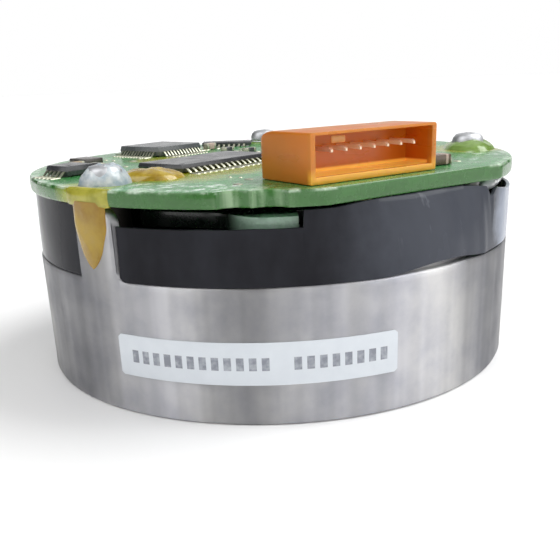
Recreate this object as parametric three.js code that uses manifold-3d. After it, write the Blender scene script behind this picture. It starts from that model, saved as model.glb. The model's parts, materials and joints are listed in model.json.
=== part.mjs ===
// Rotary encoder module for a servo motor or a robot joint.
// A turned aluminium housing carries a hollow shaft on two ball bearings. The shaft's glass code
// disc turns between a light source in the housing and a detector under the lower board. A main
// board with a side-entry connector stands on three posts, and a thin dust cover closes the gap
// between the board and the housing's ledge.
// Millimetres, +Z up. The origin is the centre of the housing's underside, and the connector's
// mouth faces -Y. Directions round the axis are in degrees from -Y, turning towards +X.

import * as THREE from 'three';
import { mergeVertices } from 'three/addons/utils/BufferGeometryUtils.js';
import Module from 'manifold-3d';

const wasm = await Module();
wasm.setup();

// Driving dimensions
const HOUSING_R = 25;
const LEDGE_Z = 12.2;
const BOARD_TOP_Z = 20;
const BOARD_THICK = 1.4;
const BOARD_R = 25.12;
const FACE_GAP = 0.05;

// Places round the axis, in degrees
const POST_ANGLES = { left: -75, right: 62, back: 148 };
const LAND = { from: -77.6, to: -66.7 };
const WINDOW_END = -28.4;
const COVER_NOTCH = { from: 20.5, to: 24.2 };

// Housing
const BOARD_UNDER_Z = BOARD_TOP_Z - BOARD_THICK;
const POST_TOP_Z = BOARD_UNDER_Z - FACE_GAP;
const EDGE_CHAMFER = 0.3;
const LIP_R = 24.05;
const LIP_Z = 13;
const RECESS_R = 11.5;
const RECESS_Z = 3;
const SEAT_R = 8.03;
const SHOULDER_R = 6.9;
const BEARING_H = 4;
const LOWER_BEARING_Z = 3.8;
const UPPER_BEARING_Z = 8.9;
const POST_RING_R = 22.1;
const POST_R = 1.95;
const POST_HOLE_R = 0.9;
const POST_HOLE_Z = 12.4;
const LAND_INNER_R = 21.4;
const MOUNT_HOLES = { count: 3, ring: 18, r: 1.25, depth: 5, first: 20 };
const LAMP_POCKET = { size: [6.4, 5.4], low: 6.5 };

// Rotor
const SHAFT_R = 4;
const SHAFT_BORE_R = 1.7;
const SHAFT_Z = [0.9, 15.6];
const RUNNING_R = SHAFT_R + 0.06;
const HUB_R = 7.2;
const DISC_R = 17;
const DISC_Z = [14.1, 14.7];
const COUPLING_R = 7.2;
const COUPLING_Z = [0.5, 2.75];
const SENSE_R = 14;

// Boards
const LOWER_BOARD_R = 20.8;
const LOWER_BOARD_Z = [16.35, 17.7];
const TAB_R = 23.7;
const CHORD_Y = -23;
const SCALLOPS = { angles: [-40.6, -34.6], offset: 1.1, r: 1.9 };
const BOARD_HOLE_R = 1.15;
const TAB = { from: -43.5, to: -29.4 };
const CHIP_TURN = 16;

// Connector
const SHELL = { x: -3.85, front: -21.47, width: 13.75, depth: 7.2, top: 24.05 };
const MOUTH = { side: 0.5, floor: 20.6, ceiling: 23.8, depth: 3.3 };
const SHELL_SLOPE = { length: 2.1, drop: 0.8 };
const PINS = { count: 7, pitch: 1.5, side: 0.5, z: 22.6, tip: -21.15, tail: -13.5 };

// Fineness of round pieces, in segments per turn
const ROUND_BIG = 72;
const ROUND_MID = 36;
const ROUND_SMALL = 16;
const SLICE_STEP = 4;

const module = new THREE.Group();

// Turns a closed three.js geometry into a solid that can be cut and joined
function solid(geometry) {
  const plain = geometry.clone();
  plain.deleteAttribute('normal');
  plain.deleteAttribute('uv');
  const merged = mergeVertices(plain, 1e-5);
  const index = merged.index.array;
  const kept = [];
  for (let i = 0; i < index.length; i += 3) {
    const [a, b, c] = [index[i], index[i + 1], index[i + 2]];
    if (a !== b && b !== c && a !== c) kept.push(a, b, c);
  }
  return new wasm.Manifold(new wasm.Mesh({
    numProp: 3,
    vertProperties: Float32Array.from(merged.attributes.position.array),
    triVerts: Uint32Array.from(kept),
  }));
}

function geometryOf(body) {
  const mesh = body.getMesh();
  const geometry = new THREE.BufferGeometry();
  geometry.setAttribute('position', new THREE.BufferAttribute(mesh.vertProperties, 3));
  geometry.setIndex(new THREE.BufferAttribute(mesh.triVerts, 1));
  geometry.computeVertexNormals();
  return geometry;
}

function place(name, body, look) {
  const mesh = new THREE.Mesh(geometryOf(body), new THREE.MeshStandardMaterial(look));
  mesh.name = name;
  module.add(mesh);
}

// Basic shapes

function spot(radius, degrees) {
  const turn = THREE.MathUtils.degToRad(degrees);
  return [radius * Math.sin(turn), -radius * Math.cos(turn)];
}

// A solid of revolution about +Z from a closed outline of [radius, height] points
function turned(outline, segments) {
  const points = [...outline, outline[0]].map(([r, z]) => new THREE.Vector2(r, z));
  const geometry = new THREE.LatheGeometry(points, segments);
  geometry.rotateX(Math.PI / 2);
  return solid(geometry);
}

function ring(inner, outer, low, high, segments = ROUND_MID) {
  return turned([[inner, low], [outer, low], [outer, high], [inner, high]], segments);
}

function disc(radius, low, high, segments = ROUND_SMALL) {
  const geometry = new THREE.CylinderGeometry(radius, radius, high - low, segments);
  geometry.rotateX(Math.PI / 2);
  geometry.translate(0, 0, (low + high) / 2);
  return solid(geometry);
}

function discAt([x, y], radius, low, high, segments) {
  return disc(radius, low, high, segments).translate([x, y, 0]);
}

// A box from its centre in plan, its sides, and its lowest and highest Z, turned about its centre
function block([x, y], [across, along], low, high, degrees = 0) {
  const geometry = new THREE.BoxGeometry(across, along, high - low);
  geometry.rotateZ(THREE.MathUtils.degToRad(degrees));
  geometry.translate(x, y, (low + high) / 2);
  return solid(geometry);
}

function plate(shape, low, high, curveSegments) {
  const options = { depth: high - low, bevelEnabled: false, curveSegments };
  const geometry = new THREE.ExtrudeGeometry(shape, options);
  geometry.translate(0, 0, low);
  return solid(geometry);
}

// A slice of a ring between two directions
function sector(inner, outer, from, to, low, high) {
  const start = THREE.MathUtils.degToRad(from - 90);
  const end = THREE.MathUtils.degToRad(to - 90);
  const shape = new THREE.Shape();
  shape.absarc(0, 0, outer, start, end, false);
  shape.absarc(0, 0, inner, end, start, true);
  shape.closePath();
  return plate(shape, low, high, Math.max(3, Math.ceil((to - from) / SLICE_STEP)));
}

function postPlaces() {
  return Object.values(POST_ANGLES).map((degrees) => spot(POST_RING_R, degrees));
}

// Housing with its bearing seats, underside recess, three posts and the land beside the left post

function housing() {
  const outline = [
    [RECESS_R, 0], [HOUSING_R - EDGE_CHAMFER, 0], [HOUSING_R, EDGE_CHAMFER],
    [HOUSING_R, LEDGE_Z], [LIP_R, LEDGE_Z], [LIP_R, LIP_Z], [SEAT_R, LIP_Z],
    [SEAT_R, UPPER_BEARING_Z], [SHOULDER_R, UPPER_BEARING_Z],
    [SHOULDER_R, LOWER_BEARING_Z + BEARING_H], [SEAT_R, LOWER_BEARING_Z + BEARING_H],
    [SEAT_R, RECESS_Z], [RECESS_R, RECESS_Z],
  ];
  let body = turned(outline, ROUND_BIG);
  body = body.add(sector(LAND_INNER_R, HOUSING_R, LAND.from, LAND.to, LEDGE_Z - 1, POST_TOP_Z));
  for (const centre of postPlaces()) {
    body = body.add(discAt(centre, POST_R, LEDGE_Z - 1, POST_TOP_Z));
  }
  for (const centre of postPlaces()) {
    body = body.subtract(discAt(centre, POST_HOLE_R, POST_HOLE_Z, BOARD_TOP_Z, 12));
  }
  for (let i = 0; i < MOUNT_HOLES.count; i += 1) {
    const centre = spot(MOUNT_HOLES.ring, MOUNT_HOLES.first + (i * 360) / MOUNT_HOLES.count);
    body = body.subtract(discAt(centre, MOUNT_HOLES.r, -1, MOUNT_HOLES.depth, 12));
  }
  return body.subtract(block(spot(SENSE_R, 180), LAMP_POCKET.size, LAMP_POCKET.low, LIP_Z + 1));
}

// Thin dust cover round the gap, open at the land, with a low front window and a notch

const COVER = {
  inner: 24.3, outer: 24.75, low: LEDGE_Z + FACE_GAP, windowTop: 16.9, top: 18.5, endGap: 0.7,
};

function dustCover() {
  let body = ring(COVER.inner, COVER.outer, COVER.low, COVER.top, ROUND_BIG);
  const cuts = [
    [LAND.from - COVER.endGap, LAND.to + COVER.endGap, 0],
    [LAND.to, WINDOW_END, COVER.windowTop],
    [COVER_NOTCH.from, COVER_NOTCH.to, COVER.windowTop],
  ];
  for (const [from, to, low] of cuts) {
    body = body.subtract(sector(COVER.inner - 2, COVER.outer + 2, from, to, low, BOARD_TOP_Z));
  }
  return body;
}

// Boards

function mainBoard() {
  const half = Math.sqrt(BOARD_R ** 2 - CHORD_Y ** 2);
  const start = Math.atan2(CHORD_Y, half);
  const shape = new THREE.Shape();
  shape.absarc(0, 0, BOARD_R, start, Math.PI - start, false);
  shape.closePath();
  let body = plate(shape, BOARD_UNDER_Z, BOARD_TOP_Z, ROUND_BIG - 14);
  for (const degrees of SCALLOPS.angles) {
    const centre = spot(BOARD_R + SCALLOPS.offset, degrees);
    body = body.subtract(discAt(centre, SCALLOPS.r, BOARD_UNDER_Z - 1, BOARD_TOP_Z + 1));
  }
  for (const centre of postPlaces()) {
    body = body.subtract(discAt(centre, BOARD_HOLE_R, BOARD_UNDER_Z - 1, BOARD_TOP_Z + 1));
  }
  return body;
}

function lowerBoard() {
  const [low, high] = LOWER_BOARD_Z;
  let body = disc(LOWER_BOARD_R, low, high, ROUND_BIG - 24);
  body = body.add(sector(LOWER_BOARD_R - 3, TAB_R, TAB.from, TAB.to, low, high));
  for (const centre of postPlaces()) {
    body = body.subtract(discAt(centre, POST_R + 0.9, low - 1, high + 1));
  }
  return body;
}

// Connector: an open box with a blade row, side entry at -Y

function pinX(i) {
  return SHELL.x + (i - (PINS.count - 1) / 2) * PINS.pitch;
}

function connectorShell() {
  const { x, front, width, depth, top } = SHELL;
  const back = front + depth;
  const side = new THREE.Shape();
  side.moveTo(front, BOARD_TOP_Z + FACE_GAP);
  side.lineTo(back, BOARD_TOP_Z + FACE_GAP);
  side.lineTo(back, top - SHELL_SLOPE.drop);
  side.lineTo(back - SHELL_SLOPE.length, top);
  side.lineTo(front, top);
  side.closePath();
  const outer = new THREE.ExtrudeGeometry(side, { depth: width, bevelEnabled: false });
  outer.rotateX(Math.PI / 2);
  outer.rotateZ(Math.PI / 2);
  outer.translate(x - width / 2, 0, 0);
  const cavity = [width - 2 * MOUTH.side, MOUTH.depth + 2];
  let body = solid(outer).subtract(
    block([x, front + MOUTH.depth / 2 - 1], cavity, MOUTH.floor, MOUTH.ceiling),
  );
  const slot = PINS.side + 2 * FACE_GAP;
  const [low, high] = [PINS.z - slot / 2, PINS.z + slot / 2];
  for (let i = 0; i < PINS.count; i += 1) {
    body = body.subtract(block([pinX(i), front + depth / 2], [slot, depth + 2], low, high));
  }
  return body;
}

function connectorPin(i) {
  const x = pinX(i);
  const half = PINS.side / 2;
  const length = PINS.tail - PINS.tip;
  const straight = block([x, PINS.tip + length / 2], [PINS.side, length], PINS.z - half, PINS.z + half);
  const tail = block(
    [x, PINS.tail - half], [PINS.side, PINS.side], BOARD_TOP_Z + FACE_GAP, PINS.z + half,
  );
  return straight.add(tail);
}

// Chips. near is the body corner closest to -Y and -X, and leads run along the long sides or all four

const CHIP_MID = {
  near: [-13.36, -4.9], size: [12.8, 6.3], top: 0.8, pitch: 0.775, leads: 16, sides: [0, 2],
};
const CHIP_BACK = {
  near: [-7.14, 12.61], size: [7, 7], top: 1.1, pitch: 0.5, leads: 12, sides: [0, 1, 2, 3],
};
const CHIP_LEFT = {
  near: [-22.05, 1.9], size: [3.4, 3.4], top: 1, pitch: 0.65, leads: 5, sides: [1, 3],
};

function chipCentre({ near, size }) {
  const turn = THREE.MathUtils.degToRad(CHIP_TURN);
  const [half, deep] = [size[0] / 2, size[1] / 2];
  return [
    near[0] + half * Math.cos(turn) - deep * Math.sin(turn),
    near[1] + half * Math.sin(turn) + deep * Math.cos(turn),
  ];
}

function chip(spec) {
  const { size, top, pitch, leads, sides } = spec;
  const reach = 0.9;
  let body = block([0, 0], size, 0.12, top);
  for (const side of sides) {
    const across = side % 2 === 0 ? size[1] : size[0];
    for (let i = 0; i < leads; i += 1) {
      const along = (i - (leads - 1) / 2) * pitch;
      const foot = block([along, -across / 2 - reach / 2 + 0.1], [pitch * 0.45, reach + 0.2], FACE_GAP, 0.3);
      body = body.add(foot.rotate([0, 0, side * 90]));
    }
  }
  const [x, y] = chipCentre(spec);
  return body.rotate([0, 0, CHIP_TURN]).translate([x, y, BOARD_TOP_Z]);
}

// A two-ended chip part: [name, centre, [length, width], height, turn from CHIP_TURN, colour]
const PINK = '#b08f80';
const CERAMIC = '#b9a58a';
const DARK = '#27282b';
const SMALL_PARTS = [
  ['memory_chip', [5.7, 18.5], [6.4, 2.6], 0.62, -50.5, DARK],
  ['oscillator', [-16, 12.6], [2.3, 3], 0.7, 0, '#3a3433'],
  ['tantalum_capacitor', [5.75, -19.1], [2.6, 1.6], 1.3, -CHIP_TURN, '#2c2624'],
  ['chip_capacitor_1', [1.75, 16.2], [1.6, 0.8], 0.8, 0, PINK],
  ['chip_capacitor_2', [11.2, 2.6], [1.6, 0.8], 0.8, 90, CERAMIC],
  ['chip_capacitor_3', [12.9, -3.4], [1.6, 0.8], 0.8, 90, CERAMIC],
  ['chip_capacitor_4', [-18.6, 8.6], [1.6, 0.8], 0.8, 0, CERAMIC],
  ['chip_resistor_1', [-16.4, 8.4], [1.6, 0.8], 0.5, 90, DARK],
  ['chip_resistor_2', [0.9, 10.5], [1.6, 0.8], 0.65, 0, DARK],
  ['chip_resistor_3', [2.1, 7.5], [1.6, 0.8], 0.65, 0, DARK],
];

function smallPart([, centre, size, height, turn]) {
  return block(centre, size, BOARD_TOP_Z + FACE_GAP, BOARD_TOP_Z + height, CHIP_TURN + turn);
}

// Pan-head screw and washer at one post
const WASHER_R = 2.1;
const WASHER_TOP_Z = BOARD_TOP_Z + FACE_GAP + 0.3;
const HEAD_TOP_Z = WASHER_TOP_Z + 1.35;

function boardScrew(centre) {
  const head = WASHER_TOP_Z + FACE_GAP;
  const outline = [
    [0, POST_HOLE_Z + 0.6], [0.8, POST_HOLE_Z + 0.6], [0.8, head], [1.72, head],
    [1.72, head + 0.75], [1.3, HEAD_TOP_Z], [0, HEAD_TOP_Z],
  ];
  const slots = block([0, 0], [0.35, 1.7], HEAD_TOP_Z - 0.5, HEAD_TOP_Z + 1)
    .add(block([0, 0], [1.7, 0.35], HEAD_TOP_Z - 0.5, HEAD_TOP_Z + 1));
  return turned(outline, ROUND_SMALL).subtract(slots).translate([...centre, 0]);
}

function washer(centre) {
  return ring(0.95, WASHER_R, BOARD_TOP_Z + FACE_GAP, WASHER_TOP_Z, ROUND_SMALL).translate([...centre, 0]);
}

// Ball bearings: two plain rings, and a cage joined to its balls
const BEARING = { bore: RUNNING_R, innerR: 5.2, outerR: 6.8, rim: 7.97, ballR: 0.72, balls: 7 };
const CAGE = { half: 0.6, thick: 0.4 };

function ballCage(low) {
  const middle = low + BEARING_H / 2;
  const pitchR = (BEARING.innerR + BEARING.outerR) / 2;
  const [inner, outer] = [pitchR - CAGE.thick / 2, pitchR + CAGE.thick / 2];
  let body = ring(inner, outer, middle - CAGE.half, middle + CAGE.half, 3 * BEARING.balls);
  for (let i = 0; i < BEARING.balls; i += 1) {
    const ball = new THREE.SphereGeometry(BEARING.ballR, 8, 6);
    const [x, y] = spot(pitchR, (i * 360) / BEARING.balls);
    ball.translate(x, y, middle);
    body = body.add(solid(ball));
  }
  return body;
}

// Drive hub under the shaft, with a collar, a drive slot across it and a tapped hole for its grub screw
const COLLAR_R = 5;
const DRIVE_SLOT = { width: 3, depth: 1.1 };
const GRUB = { holeR: 0.95, r: 0.85, z: 1.7 };

function couplingHub() {
  const [low, high] = COUPLING_Z;
  const collarTop = LOWER_BEARING_Z - FACE_GAP;
  const outline = [
    [RUNNING_R, low], [COUPLING_R, low], [COUPLING_R, high], [COLLAR_R, high],
    [COLLAR_R, collarTop], [RUNNING_R, collarTop],
  ];
  const body = turned(outline, ROUND_MID);
  const slot = block([0, 0], [DRIVE_SLOT.width, 3 * COUPLING_R], low - 1, low + DRIVE_SLOT.depth);
  return body.subtract(slot).subtract(crossways(GRUB.holeR, 0, COUPLING_R + 1));
}

// A round bar that points along +X at the grub screw's height
function crossways(radius, from, to) {
  return disc(radius, from, to, 12).rotate([0, 90, 0]).translate([0, 0, GRUB.z]);
}

function grubScrew() {
  return crossways(GRUB.r, RUNNING_R + 0.1, COUPLING_R - 0.2);
}

// Domed lamp that stands on its holder under the code disc, and the detector over the disc
const LAMP_HOLDER = { size: [6, 5], low: 6.55, high: 12.85 };
const LAMP = { r: 1.3, low: 12.9, shoulder: 13.3, crownR: 0.9, crown: 13.7, top: 13.85 };
const DETECTOR = { size: [5, 4], low: 15.65 };

function lamp() {
  const { r, low, shoulder, crownR, crown, top } = LAMP;
  const dome = turned([[0, low], [r, low], [r, shoulder], [crownR, crown], [0, top]], ROUND_SMALL);
  return dome.translate([...spot(SENSE_R, 180), 0]);
}

// Label round the housing's front, and the adhesive that hangs down the land and lies on the board
const LABEL = { from: -67.8, to: -9.9, low: 3.8, high: 7.6, lift: 0.03, thick: 0.1 };
const DRIP = { angle: -72.6, half: 2.1, narrow: 15.2, tip: 13.1, thick: 0.35 };
const BEAD = { place: [-16.9, -5.4], r: 3, flat: 0.62, height: 0.8, turn: -34 };

function label() {
  const inner = HOUSING_R + LABEL.lift;
  return sector(inner, inner + LABEL.thick, LABEL.from, LABEL.to, LABEL.low, LABEL.high);
}

function adhesiveDrip() {
  const { angle, half, narrow, tip, thick } = DRIP;
  const top = BOARD_UNDER_Z - FACE_GAP;
  const shape = new THREE.Shape();
  shape.moveTo(-half, top);
  shape.quadraticCurveTo(-half + 0.1, narrow, 0, tip);
  shape.quadraticCurveTo(half - 0.1, narrow, half, top);
  shape.closePath();
  const geometry = new THREE.ExtrudeGeometry(shape, { depth: thick, bevelEnabled: false, curveSegments: 8 });
  geometry.rotateX(Math.PI / 2);
  geometry.translate(0, -HOUSING_R - FACE_GAP, 0);
  geometry.rotateZ(THREE.MathUtils.degToRad(angle));
  return solid(geometry);
}

function adhesiveBead() {
  const { place: [x, y], r, flat, height, turn } = BEAD;
  const outline = [[0, 0], [r, 0], [r * 0.8, height * 0.6], [0, height]];
  return turned(outline, ROUND_SMALL).scale([1, flat, 1]).rotate([0, 0, turn])
    .translate([x, y, BOARD_TOP_Z + FACE_GAP]);
}

// Spacers and the plug between the two boards
const SPACERS = { ring: 18.4, angles: [-140, -5, 100], inner: 0.9, outer: 1.8 };
const BOARD_LINK = { place: [5, 4], size: [9, 2.4] };

// Looks
const ALUMINIUM = { color: '#b4b2af', roughness: 0.32, metalness: 0.95 };
const STEEL = { color: '#a9abae', roughness: 0.28, metalness: 1 };
const BRASS = { color: '#c9b27a', roughness: 0.3, metalness: 1 };
const COVER_LOOK = { color: '#2b2d35', roughness: 0.25, metalness: 0 };
const BOARD_LOOK = { color: '#4f8a5c', roughness: 0.3, metalness: 0 };
const CHIP_LOOK = { color: '#3a3b40', roughness: 0.4, metalness: 0 };
const SHELL_LOOK = { color: '#d9822b', roughness: 0.35, metalness: 0 };
const PAPER = { color: '#e6eef0', roughness: 0.55, metalness: 0 };
const GLUE = { color: '#c9a136', roughness: 0.15, metalness: 0 };
const GLASS = { color: '#cfd8dc', roughness: 0.05, metalness: 0 };
const PLASTIC = { color: '#26272a', roughness: 0.45, metalness: 0 };

place('housing', housing(), ALUMINIUM);
place('dust_cover', dustCover(), COVER_LOOK);
place('main_board', mainBoard(), BOARD_LOOK);
place('lower_board', lowerBoard(), BOARD_LOOK);
place('label', label(), PAPER);

for (const [side, degrees] of Object.entries(POST_ANGLES)) {
  const centre = spot(POST_RING_R, degrees);
  place(`washer_${side}`, washer(centre), STEEL);
  place(`screw_${side}`, boardScrew(centre), STEEL);
}

place('connector_shell', connectorShell(), SHELL_LOOK);
for (let i = 0; i < PINS.count; i += 1) {
  place(`connector_pin_${i + 1}`, connectorPin(i), BRASS);
}

place('decoder_chip', chip(CHIP_MID), CHIP_LOOK);
place('processor_chip', chip(CHIP_BACK), CHIP_LOOK);
place('driver_chip', chip(CHIP_LEFT), CHIP_LOOK);
for (const part of SMALL_PARTS) {
  place(part[0], smallPart(part), { color: part[5], roughness: 0.45, metalness: 0 });
}

place('adhesive_drip', adhesiveDrip(), GLUE);
place('adhesive_bead', adhesiveBead(), GLUE);

const BOARD_SPACE = [LOWER_BOARD_Z[1] + FACE_GAP, BOARD_UNDER_Z - FACE_GAP];
SPACERS.angles.forEach((degrees, i) => {
  const sleeve = ring(SPACERS.inner, SPACERS.outer, ...BOARD_SPACE, ROUND_SMALL);
  place(`board_spacer_${i + 1}`, sleeve.translate([...spot(SPACERS.ring, degrees), 0]), BRASS);
});
place('board_link', block(BOARD_LINK.place, BOARD_LINK.size, ...BOARD_SPACE), PLASTIC);

const sensePlace = spot(SENSE_R, 180);
const detectorTop = LOWER_BOARD_Z[0] - FACE_GAP;
place('detector', block(sensePlace, DETECTOR.size, DETECTOR.low, detectorTop), PLASTIC);
place('lamp_holder', block(sensePlace, LAMP_HOLDER.size, LAMP_HOLDER.low, LAMP_HOLDER.high), PLASTIC);
place('lamp', lamp(), GLASS);

for (const [level, low] of [['lower', LOWER_BEARING_Z], ['upper', UPPER_BEARING_Z]]) {
  const [from, to] = [low + FACE_GAP, low + BEARING_H - FACE_GAP];
  place(`${level}_outer_ring`, ring(BEARING.outerR, BEARING.rim, from, to), STEEL);
  place(`${level}_inner_ring`, ring(BEARING.bore, BEARING.innerR, from, to), STEEL);
  place(`${level}_ball_cage`, ballCage(low), STEEL);
}
place('retaining_ring', ring(SHOULDER_R, BEARING.rim, RECESS_Z + 0.1, LOWER_BEARING_Z - FACE_GAP), STEEL);
const BETWEEN = [LOWER_BEARING_Z + BEARING_H, UPPER_BEARING_Z];
place('bearing_spacer', ring(RUNNING_R, COLLAR_R, ...BETWEEN), STEEL);

place('shaft', ring(SHAFT_BORE_R, SHAFT_R, ...SHAFT_Z), STEEL);
const hubLow = UPPER_BEARING_Z + BEARING_H;
place('disc_hub', ring(RUNNING_R, HUB_R, hubLow, DISC_Z[0] - FACE_GAP), ALUMINIUM);
place('code_disc', ring(RUNNING_R, DISC_R, ...DISC_Z), GLASS);
place('disc_clamp', ring(RUNNING_R, HUB_R - 0.4, DISC_Z[1] + FACE_GAP, SHAFT_Z[1] - 0.2), STEEL);
place('drive_hub', couplingHub(), STEEL);
place('grub_screw', grubScrew(), STEEL);

export default module;
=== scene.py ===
"""The looks of a rotary encoder module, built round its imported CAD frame.

Shapes are written in millimetres and turned into metres when a piece is made. The shaft axis is Z,
and directions round it are in degrees from -Y, the connector's side, turning towards +X.
"""

import json
import math
import random

import bmesh
import bpy
from mathutils import Matrix, Vector, noise


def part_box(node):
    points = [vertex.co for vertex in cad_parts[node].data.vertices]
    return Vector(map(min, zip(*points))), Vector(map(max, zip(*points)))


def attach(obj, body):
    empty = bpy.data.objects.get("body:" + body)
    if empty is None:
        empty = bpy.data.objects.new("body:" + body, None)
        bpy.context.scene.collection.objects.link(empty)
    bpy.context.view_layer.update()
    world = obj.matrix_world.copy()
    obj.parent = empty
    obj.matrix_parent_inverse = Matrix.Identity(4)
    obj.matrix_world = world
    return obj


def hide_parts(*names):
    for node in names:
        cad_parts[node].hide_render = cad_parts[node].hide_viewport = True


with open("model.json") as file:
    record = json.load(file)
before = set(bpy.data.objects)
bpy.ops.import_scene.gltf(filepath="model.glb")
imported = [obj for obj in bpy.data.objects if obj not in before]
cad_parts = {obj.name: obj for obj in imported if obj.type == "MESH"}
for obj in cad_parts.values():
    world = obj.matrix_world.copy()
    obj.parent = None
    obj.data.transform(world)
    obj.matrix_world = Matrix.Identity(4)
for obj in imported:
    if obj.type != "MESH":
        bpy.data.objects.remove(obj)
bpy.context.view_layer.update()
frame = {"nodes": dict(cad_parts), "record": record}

MM = 0.001
BASE = "base"
ROTOR = "rotor"


def box_mm(node):
    """Lowest and highest corner of a CAD node, in millimetres."""
    low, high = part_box(node)
    return low / MM, high / MM


# Sizes read from the frame

HOUSING_HIGH = box_mm("housing")[1]
R = HOUSING_HIGH.x
LEDGE_Z = box_mm("dust_cover")[0].z - 0.05
BOARD_LOW, BOARD_HIGH = box_mm("main_board")
BOARD_TOP = BOARD_HIGH.z
BOARD_UNDER = BOARD_LOW.z
BOARD_R = BOARD_HIGH.y
CHORD_Y = -BOARD_LOW.y
LOWER_LOW, LOWER_HIGH = box_mm("lower_board")
SHELL_LOW, SHELL_HIGH = box_mm("connector_shell")

# The connector's mouth and blades

SIDE_WALL = 0.5
MOUTH_MIDDLE = (SHELL_LOW.x + SHELL_HIGH.x) / 2
MOUTH_HALF = (SHELL_HIGH.x - SHELL_LOW.x) / 2 - SIDE_WALL
MOUTH_FLOOR, MOUTH_CEILING = 20.6, 23.8
MOUTH_DEPTH = 3.3
BACK_ROUND = (2.1, 0.8)
BLADES = 7
BLADE_PITCH = 1.5
BLADE_Z = 22.6

# Places round the axis, in degrees

POSTS = {"left": -75.0, "right": 62.0, "back": 148.0}
POST_RING = 22.1
LAND = (-77.6, -66.7)
WINDOW_END = -28.4
CHIP_TURN = 16.0
MEMORY_TURN = -34.5
CAMERA_AZIMUTH = -34.0
SCALLOPS = (-40.6, -34.6)
# Directions of the pale painted glare patches on the board's top
GLARE_AT = (-61.0, -51.0, -43.0, 48.0, 56.0)

# The label's ends in degrees, and its row of marks: how many in each group, their pitch and the margin
# before them in degrees, the gap between the groups in pitches, and their height in millimetres

LABEL_FIRST, LABEL_LAST = -67.8, -9.9
MARK_GROUPS = (12, 8)
MARK_PITCH = 2.48
MARK_GAP = 1.5
MARK_MARGIN = 2.8
MARK_TALL = 1.15

# The dust cover's film

FILM_OUTER, FILM_THICK = R - 0.12, 0.32
WINDOW_TOP = 16.92
SNUG_TOP = BOARD_UNDER - 0.08
WINDOW_SIDE_TOP = 18.3
FLAP_TOP, FLAP_AT = 17.3, 35.0
NOTCH = (20.0, 24.2)


def node_centre(node):
    low, high = box_mm(node)
    return (low + high) / 2


def turned(vector, degrees):
    return Matrix.Rotation(math.radians(degrees), 3, "Z") @ Vector(vector)


def polar(radius, degrees, z=0.0):
    turn = math.radians(degrees)
    return Vector((radius * math.sin(turn), -radius * math.cos(turn), z))


def smooth_step(low, high, value):
    share = min(1.0, max(0.0, (value - low) / (high - low)))
    return share * share * (3 - 2 * share)


def spread(low, high, step):
    """Evenly spaced values from low to high, both kept, no further apart than step."""
    count = max(1, math.ceil((high - low) / step))
    return [low + (high - low) * i / count for i in range(count + 1)]


def wander(x, y=0.0, z=0.0):
    """Smooth noise between about -1 and 1."""
    return noise.noise(Vector((x, y, z)))


# Shaders


class Nodes:
    """Short calls for the nodes of one tree."""

    def __init__(self, tree):
        self.tree = tree

    def node(self, kind, inputs=None, **settings):
        made = self.tree.nodes.new("ShaderNode" + kind)
        for key, value in settings.items():
            setattr(made, key, value)
        for key, value in (inputs or {}).items():
            if isinstance(value, bpy.types.NodeSocket):
                self.tree.links.new(value, made.inputs[key])
            else:
                made.inputs[key].default_value = value
        return made

    def math(self, operation, a, b=0.0):
        return self.node("Math", {0: a, 1: b}, operation=operation).outputs[0]

    def times(self, first, *others):
        product = first
        for factor in others:
            product = self.math("MULTIPLY", product, factor)
        return product

    def apart(self, a, b):
        """How far two values are from each other."""
        return self.math("ABSOLUTE", self.math("SUBTRACT", a, b))

    def eased(self, value, start, end, low=0.0, high=1.0):
        """Low up to start, high from end on, and smooth between them."""
        inputs = {"Value": value, "From Min": start, "From Max": end, "To Min": low, "To Max": high}
        return self.node("MapRange", inputs, interpolation_type="SMOOTHSTEP").outputs[0]


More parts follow.
